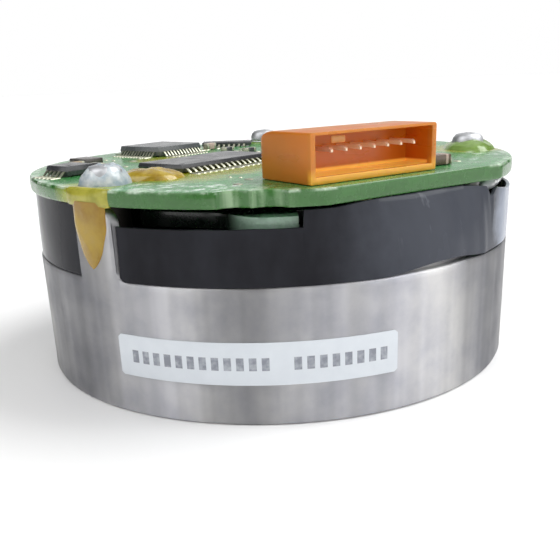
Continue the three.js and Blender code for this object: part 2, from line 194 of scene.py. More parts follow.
class Shader(Nodes):
    """A material's node tree, with short calls for what its surface needs."""

    def __init__(self, name, color, roughness, metallic=0.0, **constants):
        self.material = bpy.data.materials.new(name)
        self.material.use_nodes = True
        super().__init__(self.material.node_tree)
        self.surface = self.tree.nodes["Principled BSDF"]
        self.set("Base Color", (*color, 1.0))
        self.set("Roughness", roughness)
        self.set("Metallic", metallic)
        for socket, value in constants.items():
            self.set(socket.replace("_", " "), value)
        self.coords = self.tree.nodes.new("ShaderNodeTexCoord").outputs["Object"]

    def set(self, socket, value):
        self.surface.inputs[socket].default_value = value

    def feed(self, socket, source):
        self.tree.links.new(source, self.surface.inputs[socket])

    def scaled(self, scale, shift=(0.0, 0.0, 0.0), turn=0.0):
        inputs = {"Vector": self.coords, "Scale": scale, "Location": shift, "Rotation": (0, 0, turn)}
        return self.node("Mapping", inputs).outputs[0]

    def noise(self, scale, detail=3.0, rough=0.5, stretch=(1, 1, 1), shift=(0, 0, 0)):
        """Noise with features about 1/scale metres across."""
        inputs = {"Vector": self.scaled(stretch, shift), "Scale": scale, "Detail": detail}
        inputs["Roughness"] = rough
        return self.node("TexNoise", inputs).outputs["Fac"]

    def ramp(self, source, stops, smooth=False):
        """Colours or greys by value: stops are (position, grey or colour)."""
        made = self.node("ValToRGB", {"Fac": source})
        made.color_ramp.interpolation = "EASE" if smooth else "LINEAR"
        points = made.color_ramp.elements
        while len(points) < len(stops):
            points.new(1.0)
        for point, (position, value) in zip(points, stops):
            point.position = position
            color = (value,) * 3 if isinstance(value, (int, float)) else value
            point.color = (*color, 1.0)
        return made.outputs["Color"]

    def grade(self, source, start, end, low=0.0, high=1.0):
        """Low up to start, high from end on, and straight between them."""
        return self.ramp(source, [(start, low), (end, high)])

    def mix(self, share, a, b, blend="MIX"):
        inputs = {0: share}
        for key, value in ((6, a), (7, b)):
            inputs[key] = (*value, 1.0) if isinstance(value, tuple) else value
        return self.node("Mix", inputs, data_type="RGBA", blend_type=blend).outputs[2]

    def axis(self, name):
        return self.node("SeparateXYZ", {0: self.coords}).outputs[name]

    def azimuth(self):
        """0 to 1 round the axis, 0.5 at -Y and rising towards +X."""
        angle = self.math("ARCTAN2", self.axis("X"), self.math("MULTIPLY", self.axis("Y"), -1.0))
        return self.math("ADD", self.math("DIVIDE", angle, 2 * math.pi), 0.5)

    def radius(self):
        """Distance from the axis in metres."""
        flat = self.node("CombineXYZ", {"X": self.axis("X"), "Y": self.axis("Y")}).outputs[0]
        return self.node("VectorMath", {0: flat}, operation="LENGTH").outputs["Value"]

    def spot(self, place, reach, raggedness=0.5, grain=600):
        """1 at a place in millimetres, falling to 0 at its reach, with a ragged edge."""
        centre = tuple(value * MM for value in place)
        away = self.node("VectorMath", {0: self.coords, 1: centre}, operation="DISTANCE")
        share = self.math("DIVIDE", away.outputs["Value"], reach * MM)
        ragged = self.math("MULTIPLY", self.math("SUBTRACT", self.noise(grain, 3), 0.5), raggedness)
        return self.ramp(self.math("ADD", share, ragged), [(0.45, 1.0), (1.0, 0.0)], smooth=True)

    def bump(self, height, distance, strength=1.0):
        made = self.node("Bump", {"Height": height, "Distance": distance, "Strength": strength})
        previous = self.surface.inputs["Normal"].links
        if previous:
            self.tree.links.new(previous[0].from_socket, made.inputs["Normal"])
        self.feed("Normal", made.outputs[0])


def turned_aluminium():
    """Satin lathe-turned metal: grooves run round it, so highlights stretch upright, with faint stains."""
    made = Shader("turned_aluminium", (0.62, 0.62, 0.62), 0.5, 1.0, Anisotropic=1.0)
    made.set("Anisotropic Rotation", 0.25)
    broad = made.noise(70, 2, 0.5, stretch=(1, 1, 0.02))
    streaks = made.noise(420, 2, 0.6, stretch=(1, 1, 0.02))
    stains = made.noise(260, 5, 0.62)
    toned = made.mix(made.grade(broad, 0.38, 0.62), (0.50, 0.50, 0.53), (0.68, 0.67, 0.66))
    streaked = made.mix(made.grade(streaks, 0.35, 0.7), (0.86, 0.86, 0.86), (1.1, 1.1, 1.1))
    worn = made.mix(made.grade(stains, 0.4, 0.7), (1.03, 1.03, 1.02), (0.87, 0.88, 0.92))
    made.feed("Base Color", made.mix(1.0, made.mix(1.0, toned, streaked, "MULTIPLY"), worn, "MULTIPLY"))
    made.feed("Roughness", made.grade(stains, 0.3, 0.7, 0.44, 0.54))
    made.feed("Tangent", made.node("Tangent", direction_type="RADIAL", axis="Z").outputs[0])
    made.bump(made.noise(900, 3, 0.7, stretch=(0.02, 0.02, 6)), 0.00002, 0.35)
    made.bump(made.noise(500, 4, 0.6), 0.00003, 0.25)
    return made.material


def cover_film():
    """Thin charcoal film: glossy, smudged and lightly scratched, with a bluish painted reflection on its
    right side and a brighter painted highlight over the loose flap.
    """
    made = Shader("cover_film", (0.02, 0.021, 0.026), 0.3, Specular_IOR_Level=0.06)
    smudge = made.noise(130, 4, 0.6, stretch=(1, 1, 0.5))
    film = made.mix(made.grade(smudge, 0.3, 0.7), (0.014, 0.014, 0.017), (0.032, 0.033, 0.040))
    flap = polar(FILM_OUTER, FLAP_AT, (LEDGE_Z + FLAP_TOP) / 2)
    # Painted reflection: a pale bluish patch on the right side and a brighter one on the flap stand in for
    # reflected light.
    painted_reflection_spot = made.spot(polar(FILM_OUTER, 12, LEDGE_Z + 3), 17.0, 0.2)
    flap_painted_highlight = made.times(made.spot(flap, 7.0, 0.3), 0.7)
    painted_highlights = made.math("MAXIMUM", made.times(painted_reflection_spot, 0.115), flap_painted_highlight)
    film = made.mix(painted_highlights, film, (0.40, 0.44, 0.53))
    scuff = made.noise(700, 3, 0.6, stretch=(1, 1, 0.12), shift=(0.3, 0.1, 0))
    handled = made.spot(polar(FILM_OUTER, 6, LEDGE_Z + 3), 9.0)
    marks = made.times(made.grade(scuff, 0.64, 0.78, 0.0, 0.3), handled)
    made.feed("Base Color", made.mix(marks, film, (0.42, 0.44, 0.48)))
    made.feed("Roughness", made.grade(smudge, 0.3, 0.7, 0.12, 0.32))
    scratches = made.noise(1500, 2, 0.4, stretch=(0.15, 1, 1.4))
    made.bump(made.grade(scratches, 0.62, 0.7), 0.00001, 0.2)
    made.bump(made.noise(90, 2, 0.5), 0.0003, 0.35)
    return made.material


def laminate_base(name, face, edge, gloss):
    """Glass laminate under solder resist: traces under a wet-looking coat, paler at broken edges."""
    made = Shader(name, face, 0.3, Coat_Weight=gloss, Coat_Roughness=0.08, Subsurface_Weight=0.2)
    made.set("Subsurface Radius", (0.4, 1.0, 0.4))
    made.set("Subsurface Scale", 0.0008)
    upward = made.node("SeparateXYZ", {0: made.node("NewGeometry").outputs["Normal"]}).outputs["Z"]
    is_face = made.grade(made.math("ABSOLUTE", upward), 0.6, 0.9)
    runs = made.node("TexBrick", {
        "Vector": made.scaled((1, 1, 1), turn=math.radians(CHIP_TURN)), "Color1": (1, 1, 1, 1),
        "Color2": (0.2, 0.2, 0.2, 1), "Mortar": (0, 0, 0, 1), "Scale": 420.0, "Mortar Size": 0.03,
        "Brick Width": 1.7, "Row Height": 0.22,
    }).outputs["Color"]
    patches = made.noise(180, 3, 0.5)
    traces = made.times(runs, made.grade(patches, 0.45, 0.55))
    face_color = made.mix(traces, face, toned(face, 1.4))
    flecks = made.noise(700, 4, 0.7)
    edge_color = made.mix(made.grade(flecks, 0.4, 0.75, 0.0, 0.5), edge, toned(edge, 1.5))
    made.feed("Roughness", made.grade(flecks, 0.3, 0.7, 0.16, 0.38))
    made.bump(traces, 0.00003, 0.5)
    made.bump(made.noise(240, 3, 0.5), 0.0001, 0.35)
    return made, made.mix(is_face, edge_color, face_color)


def main_laminate():
    """The upper board, with flux and adhesive that stain it yellow-green, pale patches of painted glare on
    its top, and a pale painted highlight, partly chalky crust, along its rim.
    """
    made, color = laminate_base("green_laminate", (0.04, 0.22, 0.055), (0.038, 0.135, 0.027), 0.22)
    decoder, processor = node_centre("decoder_chip"), node_centre("processor_chip")
    stained = (
        (decoder + Vector((4.5, -3.6, 0)), 6.16), (decoder + Vector((-1.5, -5.4, 0)), 6.16),
        (decoder + Vector((-6.4, -7.4, 0)), 5.06),
        (polar(POST_RING, POSTS["right"], BOARD_TOP), 6.6), (processor + Vector((-3.2, -7.4, 0)), 4.73),
    )
    for place, reach in stained:
        share = made.times(made.spot(place, reach, 1.0, 260), 0.95)
        color = made.mix(share, color, (0.29, 0.31, 0.008))
    at_land = polar(BOARD_R - 1.2, POSTS["left"], BOARD_UNDER + 0.6)
    share = made.times(made.spot(at_land, 4.2, 0.3), 0.8)
    color = made.mix(share, color, (0.40, 0.42, 0.03))
    # Painted glare: pale patches on the board's top stand in for reflected light.
    painted_glare = made.grade(made.noise(850, 4, 0.6), 0.5, 0.62, 0.0, 0.8)
    painted_glare = made.times(painted_glare, made.eased(made.axis("Z"), (BOARD_TOP - 0.06) * MM, BOARD_TOP * MM))
    for degrees in GLARE_AT:
        share = made.times(made.spot(polar(BOARD_R - 2.2, degrees, BOARD_TOP), 3.8, 0.8), painted_glare)
        color = made.mix(share, color, (0.66, 0.78, 0.68))
    # Along the rim a pale painted highlight, partly a chalky crust.
    near_rim = made.eased(made.radius(), 0.955 * R * MM, 0.985 * R * MM)
    on_top = made.eased(made.axis("Z"), (BOARD_TOP - 0.3) * MM, (BOARD_TOP - 0.1) * MM)
    crust_and_highlight = made.grade(made.noise(520, 4, 0.65, stretch=(1, 1, 0.6)), 0.45, 0.64, 0.0, 0.85)
    share = made.times(near_rim, on_top, crust_and_highlight)
    color = made.mix(share, color, (0.62, 0.74, 0.60))
    bitten = made.spot(polar(BOARD_R, sum(SCALLOPS) / len(SCALLOPS), BOARD_UNDER + 0.7), 4.0, 0.3)
    streaks = made.grade(made.noise(900, 2, 0.5, stretch=(1, 1, 0.1)), 0.45, 0.65, 0.0, 0.6)
    made.feed("Base Color", made.mix(made.times(bitten, streaks), color, (0.42, 0.58, 0.36)))
    return made.material


def lower_laminate():
    """The lower board: pale at the tab that stands out into the light, and painted near-black behind it as
    painted shade.
    """
    made, color = laminate_base("lower_laminate", (0.22, 0.36, 0.26), (0.30, 0.44, 0.34), 0.2)
    out_of_painted_shade = made.eased(made.radius(), 0.86 * R * MM, 0.91 * R * MM)
    # Painted shade: the board inside the tab's reach is near-black, standing in for the shadow under the
    # main board.
    made.feed("Base Color", made.mix(out_of_painted_shade, (0.006, 0.012, 0.008), color))
    return made.material


def orange_moulding(front, floor):
    """Semi-translucent orange plastic, with painted light and a faint painted glow on the mouth's floor, a
    painted highlight on the front rim's lower lip, and slightly deeper painted shade inside.
    """
    made = Shader("orange_moulding", (0.6, 0.2, 0.03), 0.3, Subsurface_Weight=0.25)
    made.set("Subsurface Radius", (1.0, 0.42, 0.08))
    made.set("Subsurface Scale", 0.0015)
    flow = made.noise(160, 3, 0.5, stretch=(1, 1, 3))
    body = made.mix(flow, (0.46, 0.135, 0.011), (0.62, 0.20, 0.018))
    depth = made.times(made.math("SUBTRACT", made.axis("Y"), front * MM), 200.0)
    level = made.times(made.math("SUBTRACT", made.axis("Z"), floor * MM), 200.0)
    at_front = made.ramp(depth, [(0.0, 1.0), (0.05, 0.95), (0.11, 0.0)])
    at_floor = made.ramp(level, [(0.0, 1.0), (0.035, 1.0), (0.07, 0.0)])
    inside = made.ramp(depth, [(0.1, 0.0), (0.14, 1.0), (0.66, 1.0), (0.72, 0.0)])
    off_middle = made.apart(made.axis("X"), MOUTH_MIDDLE * MM)
    between_walls = made.math("LESS_THAN", off_middle, (MOUTH_HALF + 0.02) * MM)
    painted_shade_inside = made.times(inside, between_walls)
    painted_lit_floor = made.times(at_floor, painted_shade_inside)
    lip_painted_highlight = made.times(made.grade(level, 0.0, 0.14, 1.0, 0.0), at_front)
    # Painted shade inside the mouth, a painted highlight on the lower lip and painted light on the floor.
    color = made.mix(painted_shade_inside, body, (0.56, 0.145, 0.003))
    color = made.mix(at_front, color, (0.54, 0.185, 0.016))
    color = made.mix(lip_painted_highlight, color, (0.86, 0.40, 0.04))
    color = made.mix(painted_lit_floor, color, (0.98, 0.58, 0.09))
    made.feed("Base Color", color)
    # A faint painted glow on the mouth's floor, though it is no lamp.
    made.set("Emission Color", (1.0, 0.45, 0.08, 1.0))
    made.feed("Emission Strength", made.times(painted_lit_floor, 0.2))
    made.feed("Roughness", made.grade(flow, 0.3, 0.7, 0.22, 0.40))
    made.bump(made.noise(1200, 3, 0.6), 0.00001, 0.25)
    return made.material


def key_painted_glow():
    """The connector's key: a bright colour and a faint painted glow stand in for light coming through a
    thin place.
    """
    made = Shader("key_painted_glow_moulding", (0.95, 0.42, 0.11), 0.3, Subsurface_Weight=0.5, Emission_Strength=0.22)
    made.set("Emission Color", (0.95, 0.45, 0.16, 1.0))
    made.feed("Base Color", made.mix(made.noise(900, 3), (0.9, 0.36, 0.08), (0.98, 0.48, 0.16)))
    return made.material


def toned(color, share):
    return tuple(share * c for c in color)


def speckled(name, color, roughness, speckle, tones, bump, **constants):
    """A speckled surface, from its noise, two tones of its colour, and its bump's depth and strength."""
    made = Shader(name, color, roughness, **constants)
    grain = made.noise(*speckle)
    made.feed("Base Color", made.mix(grain, toned(color, tones[0]), toned(color, tones[1])))
    made.bump(grain, *bump)
    return made, grain


def bright_steel(name, color, roughness, metallic=1.0):
    speckle, bump = (2200, 3, 0.6), (0.00001, 0.1)
    made, grain = speckled(name, color, roughness, speckle, (0.9, 1.1), bump, metallic=metallic)
    made.feed("Roughness", made.grade(grain, 0.3, 0.7, roughness * 0.85, roughness * 1.25))
    return made.material


def moulded_black(name, color):
    """Epoxy moulding compound: fine speckle and a satin sheen."""
    speckle, bump = (5200, 2, 0.7), (0.000008, 0.4)
    made, _ = speckled(name, color, 0.3, speckle, (0.7, 1.5), bump, Specular_IOR_Level=0.9)
    made.feed("Roughness", made.grade(made.noise(700, 3), 0.3, 0.7, 0.16, 0.34))
    return made.material


def fired_ceramic(name, color):
    return speckled(name, color, 0.5, (4200, 3, 0.6), (0.75, 1.2), (0.00001, 0.4))[0].material


def cured_glue(name, color, transmission, depth_color, grain=330):
    """Cured adhesive: glossy, see-through, uneven in colour."""
    made = Shader(name, color, 0.12, Transmission_Weight=transmission, IOR=1.48)
    cloud = made.noise(grain, 4, 0.6)
    made.feed("Base Color", made.mix(made.grade(cloud, 0.4, 0.6), color, depth_color))
    made.feed("Roughness", made.grade(cloud, 0.3, 0.7, 0.06, 0.26))
    made.bump(made.noise(520, 3, 0.5), 0.00012, 0.5)
    return made.material


def label_paper():
    """White film with one printed row of plain neutral marks in two groups, which say nothing."""
    made = Shader("label_paper", (0.8, 0.84, 0.86), 0.42, Coat_Weight=0.15)
    around = made.times(made.azimuth(), 360.0)
    along = made.math("SUBTRACT", around, 180.0 + LABEL_FIRST + MARK_MARGIN)
    count = made.math("DIVIDE", along, MARK_PITCH)
    later = made.math("GREATER_THAN", count, MARK_GROUPS[0] + MARK_GAP / 2)
    place = made.math("FRACT", made.math("SUBTRACT", count, made.times(later, MARK_GAP)))
    ink = made.math("LESS_THAN", made.apart(place, 0.5), 0.3)
    off_middle = made.apart(made.axis("Z"), node_centre("label").z * MM)
    in_row = made.math("LESS_THAN", off_middle, MARK_TALL / 2 * MM)
    after = made.math("GREATER_THAN", count, 0.0)
    before = made.math("LESS_THAN", count, sum(MARK_GROUPS) + MARK_GAP)
    from_gap = made.apart(count, MARK_GROUPS[0] + MARK_GAP / 2)
    outside_gap = made.math("GREATER_THAN", from_gap, MARK_GAP / 2)
    for mask in (in_row, after, before, outside_gap):
        ink = made.times(ink, mask)
    paper = made.mix(made.noise(900, 4), (0.62, 0.66, 0.71), (0.70, 0.74, 0.78))
    worn_ink = made.times(ink, made.grade(made.noise(1800, 3), 0.3, 0.6, 0.5, 0.85))
    made.feed("Base Color", made.mix(worn_ink, paper, (0.15, 0.16, 0.20)))
    made.bump(made.noise(1500, 4), 0.00001, 0.3)
    return made.material


def clear_glass():
    made = Shader("clear_glass", (0.85, 0.9, 0.92), 0.04, Transmission_Weight=0.9, IOR=1.5)
    made.feed("Roughness", made.grade(made.noise(600, 3), 0.4, 0.8, 0.02, 0.1))
    return made.material


LOOKS = {
    "turned_aluminium": turned_aluminium(), "cover_film": cover_film(), "patch": key_painted_glow(),
    "orange_moulding": orange_moulding(SHELL_LOW.y, MOUTH_FLOOR),
    "green_laminate": main_laminate(), "lower_laminate": lower_laminate(),
    "bright_steel": bright_steel("bright_steel", (0.60, 0.61, 0.63), 0.46),
    # Near-black metal, used on the left post as painted shade.
    "dark_metal": bright_steel("dark_metal", (0.055, 0.05, 0.045), 0.5),
    "solder": bright_steel("solder", (0.53, 0.53, 0.42), 0.38),
    "pin_brass": bright_steel("pin_brass", (0.86, 0.68, 0.50), 0.42, 0.5),
    "chip_plastic": moulded_black("chip_plastic", (0.045, 0.046, 0.052)),
    # A lighter copy of the chip plastic, its grey a painted reflection of the bright top the chip shows.
    "chip_painted_sheen": moulded_black("chip_plastic_painted_sheen", (0.10, 0.107, 0.112)),
    "brown": moulded_black("brown_moulding", (0.06, 0.05, 0.046)),
    "ceramic": fired_ceramic("ceramic", (0.46, 0.33, 0.2)),
    "tan": moulded_black("tan_moulding", (0.10, 0.06, 0.032)),
    "pink": fired_ceramic("pink_ceramic", (0.56, 0.42, 0.36)),
    "amber_adhesive": cured_glue("amber_adhesive", (0.70, 0.46, 0.045), 0.5, (0.50, 0.28, 0.015)),
    "mottled_amber": cured_glue("mottled_adhesive", (0.86, 0.62, 0.09), 0.5, (0.50, 0.30, 0.02), 600),
    "rim_glue": cured_glue("rim_adhesive", (0.78, 0.72, 0.12), 0.5, (0.52, 0.50, 0.05), 600),
    "clear_glue": cured_glue("clear_adhesive", (0.92, 0.97, 0.98), 0.4, (0.48, 0.60, 0.68), 800),
    "sealant": cured_glue("silvery_sealant", (0.70, 0.72, 0.73), 0.3, (0.52, 0.54, 0.56)),
    "skirt_glue": cured_glue("skirt_adhesive", (0.44, 0.66, 0.20), 0.5, (0.30, 0.50, 0.10)),
    "label_paper": label_paper(), "clear_glass": clear_glass(),
}


# Mesh building. A shape is a list of points in millimetres and a list of faces.

MERGED = 0.0004


def mesh_object(name, points, faces):
    """An object with its doubled points merged and its faces turned outwards."""
    mesh = bpy.data.meshes.new(name)
    mesh.from_pydata([Vector(p) * MM for p in points], [], faces)
    shape = bmesh.new()
    shape.from_mesh(mesh)
    bmesh.ops.remove_doubles(shape, verts=shape.verts, dist=MERGED * MM)
    bmesh.ops.dissolve_degenerate(shape, edges=shape.edges, dist=MERGED / 2 * MM)
    bmesh.ops.recalc_face_normals(shape, faces=shape.faces)
    shape.to_mesh(mesh)
    shape.free()
    made = bpy.data.objects.new(name, mesh)
    bpy.context.scene.collection.objects.link(made)
    return made


def smooth(made, crease):
    made.data.shade_smooth()
    made.data.set_sharp_from_angle(angle=math.radians(crease))


def piece(name, shape, look, body=BASE, replaces=None, crease=35.0):
    """One finished object that rides on a body, smooth up to the crease angle."""
    made = mesh_object(name, *shape)
    smooth(made, crease)
    made.data.materials.append(LOOKS[look])
    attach(made, body)
    if replaces:
        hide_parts(replaces)
    return made


def lofted(loops, close_rows=False):
    """Faces over neighbouring loops of points, each loop closed on itself."""
    count = len(loops[0])
    points = [p for loop in loops for p in loop]
    faces = []
    rows = len(loops) if close_rows else len(loops) - 1
    for row in range(rows):
        here, there = row * count, ((row + 1) % len(loops)) * count
        for i in range(count):
            j = (i + 1) % count
            faces.append((here + i, here + j, there + j, there + i))
    if not close_rows:
        faces.append(tuple(range(count))[::-1])
        faces.append(tuple((len(loops) - 1) * count + i for i in range(count)))
    return points, faces


def turned_shape(outline, segments, centre=(0.0, 0.0)):
    """A closed outline of (radius, height) points turned about an upright axis at centre."""
    loops = []
    for i in range(segments):
        turn = 2 * math.pi * i / segments
        spot = (math.cos(turn), math.sin(turn))
        loops.append([(centre[0] + r * spot[0], centre[1] + r * spot[1], z) for r, z in outline])
    return lofted(loops, close_rows=True)


def rounded_rectangle(width, height, radius, steps):
    """Corner-rounded outline round the origin, anticlockwise; radius may differ for top and bottom."""
    top, bottom = radius if isinstance(radius, tuple) else (radius, radius)
    outline = []
    corners = [(1, 1, top, 0), (-1, 1, top, 90), (-1, -1, bottom, 180), (1, -1, bottom, 270)]
    for side, level, bend, start in corners:
        centre = (side * (width / 2 - bend), level * (height / 2 - bend))
        for i in range(steps + 1):
            turn = math.radians(start + 90 * i / steps)
            outline.append((centre[0] + bend * math.cos(turn), centre[1] + bend * math.sin(turn)))
    return outline


def placed(shape, centre, degrees=0.0):
    """A shape turned about Z and then set down at centre."""
    points, faces = shape
    turn = Matrix.Rotation(math.radians(degrees), 3, "Z")
    return [turn @ Vector(p) + Vector(centre) for p in points], faces


def stacked(size, radius, steps, levels):
    """Rounded rectangles one above another, as (height, inset)."""
    loops = []
    for level, inset in levels:
        outline = rounded_rectangle(size[0] - 2 * inset, size[1] - 2 * inset, radius, steps)
        loops.append([(x, y, level) for x, y in outline])
    return lofted(loops)


def joined(shapes):
    points, faces = [], []
    for more_points, more_faces in shapes:
        offset = len(points)
        points += more_points
        faces += [tuple(offset + i for i in face) for face in more_faces]
    return points, faces


def cut(target, shape, crease=35.0):
    """Cuts a shape out of an object."""
    cutter = mesh_object("cutter", *shape)
    modifier = target.modifiers.new("cut", "BOOLEAN")
    modifier.object = cutter
    modifier.operation = "DIFFERENCE"
    modifier.solver = "EXACT"
    bpy.context.view_layer.update()
    made = bpy.data.meshes.new_from_object(target.evaluated_get(bpy.context.evaluated_depsgraph_get()))
    target.modifiers.clear()
    target.data = made
    bpy.data.objects.remove(cutter)
    smooth(target, crease)


# Housing

LAND_TOP = HOUSING_HIGH.z
LIP_R, LIP_Z = 24.05, 13.0
ARC_PER_DEGREE = R * math.pi / 180.0
LAND_FILLET = 1.1 / ARC_PER_DEGREE
LAND_ROUND = 1.5 / ARC_PER_DEGREE


def housing_top(degrees):
    """Height of the outer wall: the ledge, and the land with a rounded shoulder and a filleted foot."""
    left, right = LAND
    if left < degrees < right - LAND_ROUND:
        return LAND_TOP
    if right - LAND_ROUND <= degrees < right:
        over = (degrees - (right - LAND_ROUND)) / LAND_ROUND
        return LAND_TOP - 1.5 * (1 - math.sqrt(max(0.0, 1 - over * over)))
    if right <= degrees < right + LAND_FILLET:
        over = 1 - (degrees - right) / LAND_FILLET
        return LEDGE_Z + 1.1 * (1 - math.sqrt(max(0.0, 1 - over * over)))
    return LEDGE_Z


def housing_directions():
    left, right = LAND
    edges = [left, left + 0.06, right - LAND_ROUND, right - 0.02, right + 0.02, right + LAND_FILLET]
    found = set(spread(-180, 179, 1.0)) | set(edges)
    found |= {right - LAND_ROUND + LAND_ROUND * math.sin(math.radians(9 * i)) for i in range(10)}
    found |= {right + LAND_FILLET * (1 - math.sin(math.radians(9 * i))) for i in range(1, 10)}
    return sorted(found)


def housing_column(degrees):
    top = housing_top(degrees)
    chamfer = 0.22
    outline = [
        (11.5, 0.25), (11.75, 0.0), (R - 0.4, 0.0), (R - 0.12, 0.1), (R, 0.38), (R, 4.0), (R, 8.0),
        (R, LEDGE_Z - 0.6), (R, top - chamfer), (R - 0.07, top - 0.07), (R - chamfer, top),
        (LIP_R + 0.01, top), (LIP_R, max(top, LIP_Z) - 0.01), (LIP_R - 0.15, LIP_Z), (8.3, LIP_Z),
        (8.03, 12.75), (8.03, 8.9), (6.9, 8.9), (6.9, 7.8), (8.03, 7.8), (8.03, 3.2), (8.2, 3.0),
        (11.3, 3.0), (11.5, 2.8),
    ]
    return [polar(r, degrees, z) for r, z in outline]


def build_housing():
    shape = lofted([housing_column(d) for d in housing_directions()], close_rows=True)
    body = piece("housing_body", shape, "turned_aluminium", replaces="housing")
    hole = [(0, -1), (1.6, -1), (1.6, 0.0), (1.25, 0.35), (1.25, 5.0), (0, 5.6)]
    for i in range(3):
        cut(body, turned_shape(hole, 32, polar(18, 20 + 120 * i)))
    for side, degrees in POSTS.items():
        outline = [
            (0.9, LIP_Z - 0.6), (1.95, LIP_Z - 0.6), (1.95, LAND_TOP - 0.2),
            (1.75, LAND_TOP - 0.01), (0.9, LAND_TOP - 0.01),
        ]
        # The left post gets the near-black metal as painted shade: it stands in the shadow under the board.
        look = "dark_metal" if side == "left" else "turned_aluminium"
        piece(f"post_{side}", turned_shape(outline, 48, polar(POST_RING, degrees)), look)


# Dust cover

def cover_top(degrees):
    """Top edge: a low window at the front, snug under the board, sagging past a notch at the loose flap."""
    high = WINDOW_SIDE_TOP + (SNUG_TOP - WINDOW_SIDE_TOP) * smooth_step(WINDOW_END, -12, degrees)
    sagging = smooth_step(10, FLAP_AT, degrees) * (1 - smooth_step(60, 86, degrees))
    high += (FLAP_TOP - SNUG_TOP) * sagging + 0.03 * wander(degrees * 0.12)
    low = WINDOW_TOP + 0.04 * wander(degrees * 0.2, 5)
    past_window = smooth_step(WINDOW_END - 0.1, WINDOW_END + 0.1, degrees)
    into = smooth_step(NOTCH[0] - 0.3, NOTCH[0] + 1.0, degrees)
    out_of = 1 - smooth_step(NOTCH[0] + 1.2, NOTCH[1], degrees)
    return low + (high - low) * past_window - 0.75 * into * out_of


def cover_bottom(degrees):
    """Bottom edge: on the ledge, lifting off it at the right of the connector."""
    lift = smooth_step(-14, 2, degrees) * (1 - smooth_step(4, 19, degrees))
    return LEDGE_Z + 0.04 + 0.55 * lift


def cover_radius(degrees, share):
    """Outer radius at a height share from 0 to 1: tucked in at the top against the board's flat edge."""
    tuck = max(0.0, FILM_OUTER - 0.1 - main_board_radius(degrees)) * smooth_step(WINDOW_END, -18, degrees)
    drawn_in = 0.16 * share + tuck * share ** 2
    flap = 0.30 * smooth_step(23, 30, degrees) * (1 - smooth_step(36, 58, degrees))
    crease = 0.12 * math.exp(-((degrees - 17.0) / 1.2) ** 2) - 0.1 * math.exp(-((degrees - 9.5) / 2.0) ** 2)
    waves = 0.05 * wander(degrees * 0.06, share * 1.5, 3)
    return FILM_OUTER - drawn_in + flap * (0.35 + 0.65 * share) + crease + waves


def build_cover():
    start, end = LAND[1] + 0.55, LAND[0] + 360 - 0.55
    edges = [WINDOW_END - 0.1, WINDOW_END + 0.1]
    fine = spread(NOTCH[0] - 0.3, NOTCH[1], 0.22)
    directions = sorted(set(spread(start, end, 0.8)) | set(edges) | set(fine))
    rows = 14
    loops = []
    for degrees in directions:
        low, high = cover_bottom(degrees), cover_top(degrees)
        column = []
        for i in range(rows + 1):
            share = i / rows
            column.append((cover_radius(degrees, share), low + (high - low) * share))
        inner = [(r - FILM_THICK, z) for r, z in reversed(column)]
        rounded = [(column[-1][0] - FILM_THICK / 2, high + 0.05)]
        loops.append([polar(r, degrees, z) for r, z in column + rounded + inner])
    piece("dust_cover_film", lofted(loops), "cover_film", replaces="dust_cover", crease=50)


# Boards

LOWER_R, LOWER_TAB_R = 20.75, 23.6


def ray_cut(degrees, radius, centre_r, centre_deg, cut_r):
    """The radius left along a direction once a round bite is taken out of a rim."""
    off = math.radians(degrees - centre_deg)
    side = centre_r * math.sin(off)
    if math.cos(off) <= 0 or abs(side) >= cut_r:
        return radius
    return min(radius, centre_r * math.cos(off) - math.sqrt(cut_r ** 2 - side ** 2))


def wrapped(degrees):
    return (degrees + 180.0) % 360.0 - 180.0


def main_board_radius(degrees):
    degrees = wrapped(degrees)
    radius = BOARD_R
    if abs(degrees) < 80:
        radius = min(radius, CHORD_Y / math.cos(math.radians(degrees)))
    for centre in SCALLOPS:
        radius = ray_cut(degrees, radius, BOARD_R + 1.1, centre, 1.9)
    return radius


def lower_board_radius(degrees):
    degrees = wrapped(degrees)
    radius = LOWER_R
    for centre in POSTS.values():
        radius = ray_cut(degrees, radius, POST_RING, centre, 2.85)
    tab = smooth_step(-49.0, -35.5, degrees) * (1 - smooth_step(-29.0, -28.7, degrees))
    return radius + (LOWER_TAB_R - radius) * tab


def board_shape(radius_at, low, high, rim, step):
    """A board from its rim's radius by direction, with rounded coated edges."""
    middle, half = (low + high) / 2, (high - low) / 2
    arc = []
    for i in range(9):
        turn = math.radians(90 - 22.5 * i)
        reach = abs(math.cos(turn)) ** 0.6
        level = math.copysign(abs(math.sin(turn)) ** 0.6, math.sin(turn))
        arc.append((reach, level))
    loops = []
    for degrees in spread(-180, 180 - step, step):
        edge = radius_at(degrees)
        column = [(0.0, high), (edge * 0.5, high)]
        column += [(edge - rim + rim * reach, middle + half * level) for reach, level in arc]
        column += [(edge * 0.5, low), (0.0, low)]
        loops.append([polar(r, degrees, z) for r, z in column])
    return lofted(loops, close_rows=True)


def build_boards():
    shape = board_shape(main_board_radius, BOARD_UNDER, BOARD_TOP, 0.34, 0.5)
    piece("main_board_plate", shape, "green_laminate", replaces="main_board")
    shape = board_shape(lower_board_radius, LOWER_LOW.z, LOWER_HIGH.z, 0.08, 0.5)
    piece("lower_board_plate", shape, "lower_laminate", replaces="lower_board")


# Connector

def shell_loop(y, inset, low, high, radius):
    """One rounded outline of the connector in a plane of constant Y, drawn in at the sides by inset."""
    width = SHELL_HIGH.x - SHELL_LOW.x - 2 * inset
    outline = rounded_rectangle(width, high - low, radius, 5)
    return [(MOUTH_MIDDLE + x, y, (low + high) / 2 + z) for x, z in outline]


